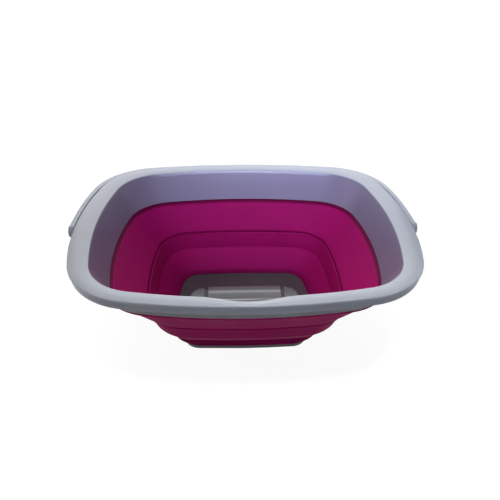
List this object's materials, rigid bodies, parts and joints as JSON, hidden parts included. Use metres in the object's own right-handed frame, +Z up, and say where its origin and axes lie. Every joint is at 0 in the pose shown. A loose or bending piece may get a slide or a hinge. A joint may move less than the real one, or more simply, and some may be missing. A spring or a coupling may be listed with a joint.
{
  "type": "collapsible bucket",
  "caption": "Rounded rectangular collapsible bucket with a rigid lipped rim, a soft wall that folds down flat, a swinging bail handle and a base with a moulded hand grip.",
  "frame": {"origin": "on the floor, under the middle of the overall outline with the handle folded to the rear", "axes": "+Z up out of the bucket, +X along the long side to the right, -Y towards the front with the pour scoop, +Y towards the folded handle"},
  "size_m": [0.4096, 0.3184, 0.1385],
  "materials": {
    "rim_plastic": "smooth moulded polypropylene, satin gloss, pale blue grey",
    "handle_plastic": "smooth moulded polypropylene, satin gloss, pale blue grey",
    "soft_wall": "thermoplastic elastomer, soft sheen, deep magenta",
    "base_plastic": "moulded polypropylene, satin, mid grey"
  },
  "bodies": {
    "base": {"base_plate": "base_plastic", "base_collar": "soft_wall", "lower_fold_wall": "soft_wall"},
    "middle": {"middle_wall_ring": "soft_wall", "upper_fold_wall": "soft_wall"},
    "rim": {"rim_frame": "rim_plastic"},
    "handle": {"bail_handle": "handle_plastic"}
  },
  "joints": [
    {"name": "lower_fold", "type": "slide", "parent": "base", "child": "middle", "axis": [0, 0, -1], "range_m": [0, 0.03], "deforming": ["lower_fold_wall"]},
    {"name": "upper_fold", "type": "slide", "parent": "middle", "child": "rim", "axis": [0, 0, -1], "range_m": [0, 0.058], "deforming": ["upper_fold_wall"]},
    {"name": "handle_swing", "type": "hinge", "parent": "rim", "child": "handle", "pos_m": [0, -0.0064, 0.1265], "axis": [1, 0, 0], "range_deg": [0, 180]}
  ],
  "couplings": [
    {"joint": "lower_fold", "follows": "upper_fold", "ratio": 0.51724}
  ]
}
